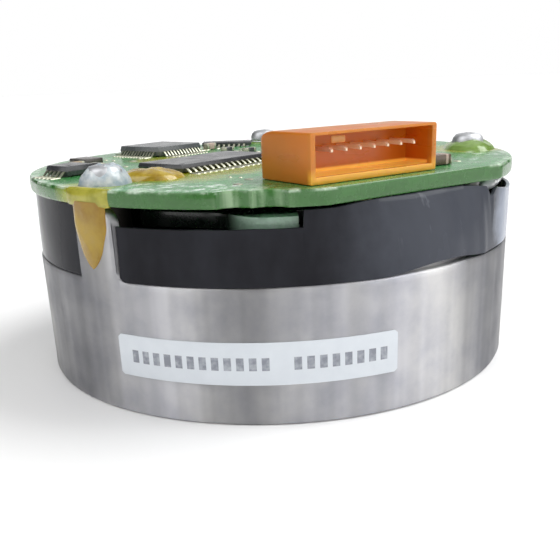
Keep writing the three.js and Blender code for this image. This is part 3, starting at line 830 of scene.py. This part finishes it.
def shell_loops():
    """The shell's skin from its back, over the sloped shoulder, to the front rim and into the mouth."""
    front, back = SHELL_LOW.y, SHELL_HIGH.y
    low, high = SHELL_LOW.z, SHELL_HIGH.z
    out_of_painted_shade, inner = (0.22, 0.08), (0.12, 0.1)
    run, drop = BACK_ROUND
    loops = [shell_loop(back, 0.5, low + 0.1, high - drop - 0.3, out_of_painted_shade)]
    loops.append(shell_loop(back - 0.02, 0.3, low + 0.05, high - drop - 0.15, out_of_painted_shade))
    for i in range(9):
        turn = math.radians(90 * i / 8)
        y = back - 0.04 - run * (1 - math.cos(turn))
        bevel = 0.22 * (1 - math.sin(turn)) ** 2
        loops.append(shell_loop(y, bevel, low, high - drop * (1 - math.sin(turn)), out_of_painted_shade))
    loops += [
        shell_loop(front + 0.12, 0.0, low, high, out_of_painted_shade),
        shell_loop(front + 0.02, 0.02, low + 0.01, high - 0.02, out_of_painted_shade),
        shell_loop(front, 0.07, low + 0.05, high - 0.06, out_of_painted_shade),
        shell_loop(front, SIDE_WALL - 0.08, MOUTH_FLOOR - 0.06, MOUTH_CEILING + 0.04, inner),
        shell_loop(front + 0.05, SIDE_WALL, MOUTH_FLOOR, MOUTH_CEILING, inner),
        shell_loop(front + MOUTH_DEPTH, SIDE_WALL, MOUTH_FLOOR, MOUTH_CEILING, inner),
    ]
    return loops


def build_connector():
    shell = lofted(shell_loops())
    piece("connector_housing", shell, "orange_moulding", replaces="connector_shell", crease=40)
    key = block_shape((1.5, 0.5, 0.6), (MOUTH_MIDDLE - 1.45, SHELL_LOW.y + MOUTH_DEPTH + 0.15, 23.1), 0.1)
    piece("connector_key", key, "patch")
    for i in range(BLADES):
        build_blade(i + 1, MOUTH_MIDDLE + (i - (BLADES - 1) / 2) * BLADE_PITCH)


def build_blade(number, x):
    """A square blade with a tapered tip, its bend and its tail behind the shell."""
    low, high = box_mm(f"connector_pin_{number}")
    half = 0.165
    tail_y = high.y - half
    route = [
        (low.y, BLADE_Z - 0.1, 0.1), (low.y + 0.25, BLADE_Z, half), (tail_y - 0.4, BLADE_Z, half),
        (tail_y - 0.12, BLADE_Z - 0.12, half), (tail_y, BLADE_Z - 0.5, half), (tail_y, low.z, half),
    ]
    loops = []
    for i, (y, z, size) in enumerate(route):
        along = Vector((0, size, 0)) if i >= 4 else Vector((0, 0, size))
        if i == 3:
            along = Vector((0, size, size)).normalized() * size * 1.2
        across = Vector((size, 0, 0))
        middle = Vector((x, y, z))
        loops.append([middle + across + along, middle - across + along,
                      middle - across - along, middle + across - along])
    piece(f"blade_{number}", lofted(loops), "pin_brass", replaces=f"connector_pin_{number}")


def block_shape(size, centre, bevel, degrees=0.0):
    """A block with rounded edges all round, centred on a point."""
    steps = ((0.0, bevel), (0.3 * bevel, 0.3 * bevel), (bevel, 0.0))
    levels = [(level - size[2] / 2, inset) for level, inset in steps]
    levels += [(size[2] / 2 - level, inset) for level, inset in reversed(steps)]
    return placed(stacked(size, bevel, 3, levels), centre, degrees)


# Chips. Their places come from the frame, and every one of them is turned by CHIP_TURN.

CHIPS = {
    "decoder_chip": {
        "size": (12.8, 6.3), "top": 0.8, "pitch": 0.775, "leads": 16, "sides": (0, 2),
        "look": "chip_plastic",
    },
    # The processor's lighter plastic is a painted reflection.
    "processor_chip": {
        "size": (7.0, 7.0), "top": 1.1, "pitch": 0.5, "leads": 12, "sides": (0, 1, 2, 3),
        "look": "chip_painted_sheen",
    },
    "driver_chip": {
        "size": (3.4, 3.4), "top": 1.0, "pitch": 0.65, "leads": 5, "sides": (1, 3), "look": "chip_plastic",
    },
}


def lead_shape(width, drop, reach):
    """A gull-wing lead that starts in a body's side at Y = 0 and steps down outwards, towards -Y."""
    thick = 0.1
    route = [
        (0.2, drop), (-0.06, drop), (-0.14, drop - 0.04), (-0.5 * reach, 0.16), (-0.62 * reach, thick / 2),
        (-reach, thick / 2),
    ]
    loops = []
    for i, (y, z) in enumerate(route):
        before, after = route[max(0, i - 1)], route[min(len(route) - 1, i + 1)]
        run = Vector((after[0] - before[0], after[1] - before[1])).normalized()
        normal = Vector((-run.y, run.x)) * thick / 2
        loops.append([
            (-width / 2, y + normal.x, z + normal.y), (width / 2, y + normal.x, z + normal.y),
            (width / 2, y - normal.x, z - normal.y), (-width / 2, y - normal.x, z - normal.y),
        ])
    return lofted(loops)


def solder_shape(width, reach, length=0.5):
    """A low solder fillet round a lead's foot, run out along its pad."""
    loops = []
    for level, grow in ((-0.02, 0.1), (0.04, 0.07), (0.08, 0.0)):
        outline = rounded_rectangle(width + 2 * grow, length + 2 * grow, 0.05, 2)
        loops.append([(x, y - reach + 0.3 - length / 2, level) for x, y in outline])
    return lofted(loops)


def build_chip(name, spec):
    size, top, pitch = spec["size"], spec["top"], spec["pitch"]
    middle = node_centre(name)
    centre = Vector((middle.x, middle.y, BOARD_TOP))
    low = 0.1
    parting = low + (top - low) * 0.5
    levels = [(low, 0.16), (low + 0.04, 0.1), (parting - 0.02, 0.0), (parting + 0.02, 0.0),
              (top - 0.05, 0.1), (top, 0.17)]
    shape = placed(stacked(size, 0.14, 2, levels), centre, CHIP_TURN)
    body = piece(f"{name}_body", shape, spec["look"], replaces=name, crease=25)
    mark = turned((-size[0] / 2 + 0.75, -size[1] / 2 + 0.75, 0), CHIP_TURN)
    dimple = [(0, top - 0.05), (0.28, top - 0.04), (0.34, top + 0.2), (0, top + 0.2)]
    cut(body, placed(turned_shape(dimple, 24), centre + mark), crease=25)
    leads, solder = [], []
    width = min(0.27, pitch * 0.38)
    for side in spec["sides"]:
        across = size[1] if side % 2 == 0 else size[0]
        turn = CHIP_TURN + side * 90
        for i in range(spec["leads"]):
            along = (i - (spec["leads"] - 1) / 2) * pitch
            foot = centre + turned((along, -across / 2, 0), turn)
            leads.append(placed(lead_shape(width, parting - 0.05, 0.95), foot, turn))
            solder.append(placed(solder_shape(width, 0.95, 1.0), foot, turn))
    piece(f"{name}_leads", joined(leads), "solder", crease=30)
    piece(f"{name}_solder", joined(solder), "solder", crease=60)


def build_two_ended(name, look):
    """A chip resistor or capacitor: a block, wrapped tin ends and solder at each end."""
    low, high = box_mm(name)
    centre = (low + high) / 2
    degrees = CHIP_TURN + (90 if (high - low).y > (high - low).x else 0)
    height = high.z - low.z
    middle = Vector((centre.x, centre.y, BOARD_TOP + height / 2 + 0.03))
    body = block_shape((1.35, 0.78, height * 0.94), middle, 0.05, degrees)
    piece(f"{name}_body", body, look, replaces=name)
    ends = []
    for side in (-1, 1):
        end = middle + turned((side * 0.62, 0, 0), degrees)
        ends.append(block_shape((0.38, 0.84, height), end, 0.09, degrees))
        foot = Vector((centre.x, centre.y, BOARD_TOP)) + turned((side * 0.95, 0, 0), degrees)
        ends.append(placed(solder_shape(0.8, 0.3), foot, degrees + 90))
    piece(f"{name}_ends", joined(ends), "solder")


def build_memory_chip():
    """A thin chip at the far rim, turned along it, with short leads on its long sides."""
    middle = node_centre("memory_chip")
    body = block_shape((6.4, 2.6, 0.5), (middle.x, middle.y, BOARD_TOP + 0.36), 0.08, MEMORY_TURN)
    piece("memory_chip_body", body, "chip_plastic", replaces="memory_chip")
    centre = Vector((middle.x, middle.y, BOARD_TOP))
    leads = []
    for turn in (MEMORY_TURN, MEMORY_TURN + 180):
        for i in range(8):
            foot = centre + turned(((i - 3.5) * 0.65, -1.3, 0), turn)
            leads.append(placed(lead_shape(0.26, 0.3, 0.6), foot, turn))
    piece("memory_chip_leads", joined(leads), "solder", crease=30)


def build_small_parts():
    for i in range(1, 5):
        build_two_ended(f"chip_capacitor_{i}", "pink" if i == 1 else "ceramic")
    for i in range(1, 4):
        build_two_ended(f"chip_resistor_{i}", "chip_plastic")
    low, high = box_mm("oscillator")
    centre = (low + high) / 2
    size = (2.3, 3.0, high.z - low.z)
    can = block_shape(size, (centre.x, centre.y, BOARD_TOP + size[2] / 2 + 0.04), 0.1, CHIP_TURN)
    piece("oscillator_can", can, "brown", replaces="oscillator")
    centre = node_centre("tantalum_capacitor")
    middle = Vector((centre.x, centre.y, BOARD_TOP + 0.52))
    body = block_shape((2.1, 1.4, 0.9), middle, 0.1)
    piece("tantalum_body", body, "tan", replaces="tantalum_capacitor")
    band = block_shape((0.42, 1.43, 0.93), middle + Vector((0.5, 0, 0)), 0.1)
    piece("tantalum_band", band, "pink")
    ends = [block_shape((0.35, 1.2, 0.6), middle + Vector((side * 1.1, 0, -0.2)), 0.07) for side in (-1, 1)]
    piece("tantalum_ends", joined(ends), "solder")


def build_pads():
    """Solder pads, test points and vias over the free parts of the board."""
    random.seed(11)
    dots = []
    taken = [polar(POST_RING, d) for d in POSTS.values()]
    while len(dots) < 90:
        spot = polar(random.uniform(3, 23.3), random.uniform(-180, 180))
        size = random.choice((0.22, 0.28, 0.45))
        clear_of_shell = spot.y > SHELL_HIGH.y + 0.6 or not SHELL_LOW.x - 0.6 < spot.x < SHELL_HIGH.x + 0.6
        if not clear_of_shell or spot.y < -CHORD_Y + 1.0 or any((spot - t).length < 2.9 for t in taken):
            continue
        if inside_chip(spot):
            continue
        low = BOARD_TOP - 0.02
        outline = [(0, low), (size, low), (size * 0.85, low + 0.06), (size * 0.45, low + 0.1)]
        outline.append((0, low + 0.11))
        dots.append(turned_shape(outline, 12, spot))
    piece("solder_dots", joined(dots), "solder", crease=60)


def inside_chip(spot):
    for name, spec in CHIPS.items():
        local = turned(spot - node_centre(name), -CHIP_TURN)
        if abs(local.x) < spec["size"][0] / 2 + 1.6 and abs(local.y) < spec["size"][1] / 2 + 1.6:
            return True
    return False


# Screws and washers


def build_screw(side):
    spot = polar(POST_RING, POSTS[side])
    head = box_mm(f"screw_{side}")[1].z - 1.35
    outline = [
        (0, 13.2), (0.6, 13.2), (0.85, 13.5), (0.85, head), (1.6, head), (1.74, head + 0.1),
        (1.76, head + 0.4), (1.6, head + 0.85), (1.3, head + 1.18), (0.8, head + 1.3), (0, head + 1.34),
    ]
    shape = turned_shape(outline, 48, spot)
    screw = piece(f"screw_{side}_body", shape, "bright_steel", replaces=f"screw_{side}")
    turn = 20.0 + POSTS[side]
    for quarter in (0, 90):
        loops = []
        recess = ((head + 0.45, 0.1, 0.25), (head + 0.9, 0.26, 1.1), (head + 1.6, 0.34, 2.1))
        for level, width, length in recess:
            outline = rounded_rectangle(length, width, width * 0.3, 2)
            loops.append([(x, y, level) for x, y in outline])
        cut(screw, placed(lofted(loops), spot, turn + quarter))
    low = BOARD_TOP + 0.03
    high = low + 0.32
    outline = [(0.95, low), (2.02, low), (2.1, low + 0.08), (2.1, high - 0.08), (2.02, high), (0.95, high)]
    shape = turned_shape(outline, 48, spot)
    piece(f"washer_{side}_body", shape, "bright_steel", replaces=f"washer_{side}")


# Adhesive


def puddle(centre, reach, height, seed, turn=0.0, rings=12, lumpy=0.08):
    """A blob of set liquid on the board: reach is (along, across), uneven in outline and height."""
    spokes = 48
    loops = []
    for ring in range(rings + 1):
        share = ring / rings
        loop = []
        for spoke in range(spokes):
            angle = 2 * math.pi * spoke / spokes
            ragged = 1 + 0.16 * wander(math.cos(angle) * 1.3 + seed, math.sin(angle) * 1.3, seed)
            x = reach[0] * share * ragged * math.cos(angle)
            y = reach[1] * share * ragged * math.sin(angle)
            lump = 1 + 0.25 * wander(x * 0.8 + seed, y * 0.8, seed) + lumpy * wander(x * 2.2, y * 2.2, seed)
            level = height * (1 - share ** 2) ** 0.6 * lump if share < 1 else 0.0
            loop.append((x, y, BOARD_TOP - 0.02 + level))
        loops.append(loop)
    return placed(lofted(loops), (centre.x, centre.y, 0), turn)


def build_drip():
    """Adhesive run down the land: full at the board's edge, thinning to a point."""
    middle, top, tip = -72.6, BOARD_UNDER + 0.35, 13.05
    rows, sides = 36, 14
    loops = []
    for i in range(rows + 1):
        share = i / rows
        z = top + (tip - top) * share
        half = 2.15 * (1 - share ** 2.6) ** 0.75 * (1 + 0.08 * wander(share * 4, 2)) + 0.01
        thick = (0.34 - 0.1 * share) * (1 - share ** 6) + 0.01
        loop = []
        for j in range(sides + 1):
            across = -1 + 2 * j / sides
            bulge = thick * (1 - across ** 2) ** 0.5 * (1 + 0.25 * wander(across * 2, share * 5, 7))
            loop.append((half * across - 0.25 * share, bulge))
        under = [(half * (1 - 2 * j / 4) - 0.25 * share, -0.04) for j in range(1, 4)]
        profile = loop + under
        loops.append([polar(R + 0.01 + out, middle + s / ARC_PER_DEGREE, z) for s, out in profile])
    piece("adhesive_run", lofted(loops), "amber_adhesive", replaces="adhesive_drip", crease=60)


def build_edge_glue():
    """Adhesive wrapped over the board's rim above the drip."""
    first, last = -79.0, -66.5
    loops = []
    for degrees in spread(first, last, 0.5):
        share = (2 * degrees - first - last) / (last - first)
        full = max(0.0, 1 - share ** 4)
        thick = 0.2 * full ** 0.6 + 0.005
        edge = main_board_radius(degrees)
        low, high = BOARD_UNDER - 0.1 * full, BOARD_TOP
        column = [
            (edge - 0.9, high - 0.02), (edge - 0.6, high + 0.3 * thick), (edge - 0.3, high + 0.5 * thick),
            (edge - 0.02 + 0.5 * thick, high - 0.12), (edge - 0.02 + thick, (low + high) / 2 + 0.2),
            (edge - 0.02 + thick, (low + high) / 2 - 0.2), (edge - 0.02 + 0.7 * thick, low + 0.1),
            (edge - 0.1, low - 0.05), (edge - 0.3, low + 0.2), (edge - 0.25, (low + high) / 2),
            (edge - 0.7, high - 0.15),
        ]
        loops.append([polar(r, degrees, z) for r, z in column])
    piece("adhesive_rim", lofted(loops), "rim_glue", crease=70)


def build_sealant():
    """A silvery bead of clear sealant under the rim, in view where the film's flap sags away."""
    first, last = NOTCH[1] - 3.0, 46.0
    loops = []
    for degrees in spread(first, last, 1.0):
        end = min(degrees - first, last - degrees)
        size = 0.62 * min(1.0, end / 3.0) ** 0.5 + 0.01
        middle = Vector((FILM_OUTER - FILM_THICK - 1.0, BOARD_UNDER - 0.62))
        swell = 1 + 0.12 * wander(degrees * 0.4, 9)
        turns = [math.radians(30 * i) for i in range(12)]
        column = [(middle.x + size * swell * math.cos(t), middle.y + size * math.sin(t)) for t in turns]
        loops.append([polar(r, degrees, z) for r, z in column])
    piece("sealant_bead", lofted(loops), "sealant", crease=70)


def build_adhesive():
    build_drip()
    build_edge_glue()
    bead = puddle(node_centre("adhesive_bead"), (3.3, 2.1), 0.95, 3.1, turn=-34)
    piece("adhesive_lump", bead, "mottled_amber", replaces="adhesive_bead", crease=70)
    build_sealant()
    cap = puddle(polar(POST_RING, POSTS["left"]), (2.2, 2.15), 1.68, 8.3, rings=18, lumpy=0.22)
    piece("clear_glue_left", cap, "clear_glue", crease=70)
    for side, along, across, height in (("right", 3.8, 2.6, 1.1), ("back", 2.4, 2.4, 0.7)):
        spot = polar(POST_RING, POSTS[side])
        skirt = puddle(spot, (along, across), height, 5.0 + along, turn=POSTS[side])
        piece(f"glue_skirt_{side}", skirt, "skirt_glue", crease=70)


# Label


def build_label():
    low, high = box_mm("label")
    thick = 0.1
    loops = []
    for degrees in spread(LABEL_FIRST, LABEL_LAST, 0.6):
        end = min(degrees - LABEL_FIRST, LABEL_LAST - degrees)
        trim = 0.25 * max(0.0, 1 - end / 0.6) ** 2
        lift = 0.05 * math.exp(-end / 1.2)
        bottom, top = low.z + trim, high.z - trim
        inner, out_of_painted_shade = R + 0.004 + lift, R + 0.004 + thick + lift
        column = [
            (inner, bottom), (out_of_painted_shade - 0.02, bottom), (out_of_painted_shade, bottom + 0.04), (out_of_painted_shade, (bottom + top) / 2),
            (out_of_painted_shade, top - 0.04), (out_of_painted_shade - 0.02, top), (inner, top),
        ]
        loops.append([polar(r, degrees, z) for r, z in column])
    piece("label_film", lofted(loops), "label_paper", replaces="label", crease=60)


# Rotor's visible end, seen from below


def build_rotor_end():
    hub = [
        (4.06, 0.65), (4.25, 0.5), (6.95, 0.5), (7.2, 0.75), (7.2, 2.55), (7.0, 2.75), (5.0, 2.75),
        (5.0, 3.75), (4.06, 3.75),
    ]
    body = piece("drive_hub_body", turned_shape(hub, 96), "bright_steel", ROTOR, "drive_hub")
    cut(body, block_shape((3.0, 20.0, 2.2), (0, 0, 0.5), 0.12))
    points, faces = turned_shape([(0, 0), (0.95, 0), (0.95, 9.0), (0, 9.0)], 24)
    cut(body, ([(z, x, 1.7 + y) for x, y, z in points], faces))
    shaft = [
        (1.7, 1.2), (2.0, 0.9), (3.75, 0.9), (4.0, 1.15), (4.0, 15.4), (3.8, 15.6), (2.0, 15.6),
        (1.7, 15.3),
    ]
    piece("shaft_body", turned_shape(shaft, 72), "bright_steel", ROTOR, "shaft")


# Everything else keeps its CAD shape and gets its slot's finish


def dress_frame():
    slots = {row["node"]: row["material_slot"] for row in frame["record"]["subparts"]}
    for name, node in frame["nodes"].items():
        node.data.materials.clear()
        node.data.materials.append(LOOKS[slots[name]])


# Stage, light and camera


def build_stage():
    made = Shader("floor_paper", (0.95, 0.95, 0.95), 0.9)
    made.bump(made.noise(40, 2), 0.0001, 0.1)
    mesh = bpy.data.meshes.new("floor")
    reach = 3.0
    corners = [(-reach, -reach, 0), (reach, -reach, 0), (reach, reach, 0), (-reach, reach, 0)]
    mesh.from_pydata(corners, [], [(0, 1, 2, 3)])
    mesh.materials.append(made.material)
    floor = bpy.data.objects.new("floor", mesh)
    bpy.context.scene.collection.objects.link(floor)


def sun(name, side, rise, strength, softness):
    """A soft distant light from a direction round the axis, at a height in degrees."""
    data = bpy.data.lights.new(name, "SUN")
    data.energy = strength
    data.angle = math.radians(softness)
    light = bpy.data.objects.new(name, data)
    light.location = polar(1.0, side, math.tan(math.radians(rise)))
    light.rotation_euler = (-light.location).to_track_quat("-Z", "Y").to_euler()
    bpy.context.scene.collection.objects.link(light)


# Soft panels round the studio, as (direction, half width, strength). The gap between the two front
# ones is where the camera stands.
PANELS = {"right": (13.0, 45.0, 1.35), "left": (-97.0, 25.0, 1.1), "backdrop": (144.0, 28.0, 0.7)}
PANEL_SOFTNESS = 4.0
UNLIT = 0.05
OVERHEAD = 0.8


def build_world():
    """White to the camera, and soft panels to everything else, dimmer overhead than at their middle."""
    world = bpy.data.worlds.new("studio")
    world.use_nodes = True
    made = Nodes(world.node_tree)
    seen = made.tree.nodes["Background"]
    seen.inputs["Color"].default_value = (1.0, 1.0, 1.0, 1.0)
    direction = made.node("TexCoord").outputs["Generated"]
    flat = made.node("VectorMath", {0: direction, 1: (1, 1, 0)}, operation="MULTIPLY").outputs[0]
    level = made.node("VectorMath", {0: flat}, operation="NORMALIZE").outputs[0]
    strength = UNLIT
    for side, half, power in PANELS.values():
        towards = made.node("VectorMath", {0: level, 1: polar(1.0, side)}, operation="DOT_PRODUCT")
        dark, lit = math.radians(half + PANEL_SOFTNESS), math.radians(half - PANEL_SOFTNESS)
        share = made.eased(towards.outputs["Value"], math.cos(dark), math.cos(lit))
        strength = made.math("ADD", strength, made.times(share, power))
    height = made.node("SeparateXYZ", {0: direction}).outputs["Z"]
    strength = made.times(strength, made.eased(height, 0.2, 0.9, 1.0, OVERHEAD))
    light = made.node("Background", {"Strength": strength})
    light.inputs["Color"].default_value = (1.0, 1.0, 1.0, 1.0)
    ray = made.node("LightPath").outputs["Is Camera Ray"]
    either = made.node("MixShader", {0: ray, 1: light.outputs[0], 2: seen.outputs[0]}).outputs[0]
    made.tree.links.new(either, made.tree.nodes["World Output"].inputs["Surface"])
    bpy.context.scene.world = world


def build_light():
    build_world()
    sun("key", CAMERA_AZIMUTH + 110, 52, 2.1, 40)
    sun("fill", CAMERA_AZIMUTH - 75, 58, 0.7, 40)
    bpy.context.scene.view_settings.view_transform = "Standard"


def build_camera():
    """A three-quarter view from above, on the connector's left."""
    distance, rise = 3.499 * R * MM, math.radians(18.67)
    aim_side, aim_up, tilt = -0.003 * R * MM, -0.080 * R * MM, math.radians(-2.33)
    turn = Matrix.Rotation(math.radians(CAMERA_AZIMUTH), 3, "Z")
    place = turn @ Vector((0, -distance * math.cos(rise), distance * math.sin(rise)))
    aim = turn @ Vector((aim_side, 0, aim_up))
    forward = (aim - place).normalized()
    right = forward.cross(Vector((0, 0, 1))).normalized()
    up = right.cross(forward)
    level_right = right * math.cos(tilt) + up * math.sin(tilt)
    level_up = up * math.cos(tilt) - right * math.sin(tilt)
    data = bpy.data.cameras.new("camera")
    data.sensor_width = 36.0
    data.lens = 47.75
    data.shift_x, data.shift_y = 0.0045, 0.1225
    data.clip_start = 0.005
    camera = bpy.data.objects.new("camera", data)
    rotation = Matrix((level_right, level_up, -forward)).transposed()
    camera.matrix_world = Matrix.Translation(place) @ rotation.to_4x4()
    bpy.context.scene.collection.objects.link(camera)
    bpy.context.scene.camera = camera


def build_object():
    dress_frame()
    build_housing()
    build_cover()
    build_boards()
    build_connector()
    for name, spec in CHIPS.items():
        build_chip(name, spec)
    build_memory_chip()
    build_small_parts()
    build_pads()
    for side in POSTS:
        build_screw(side)
    build_adhesive()
    build_label()
    build_rotor_end()


build_object()
build_stage()
build_light()
build_camera()
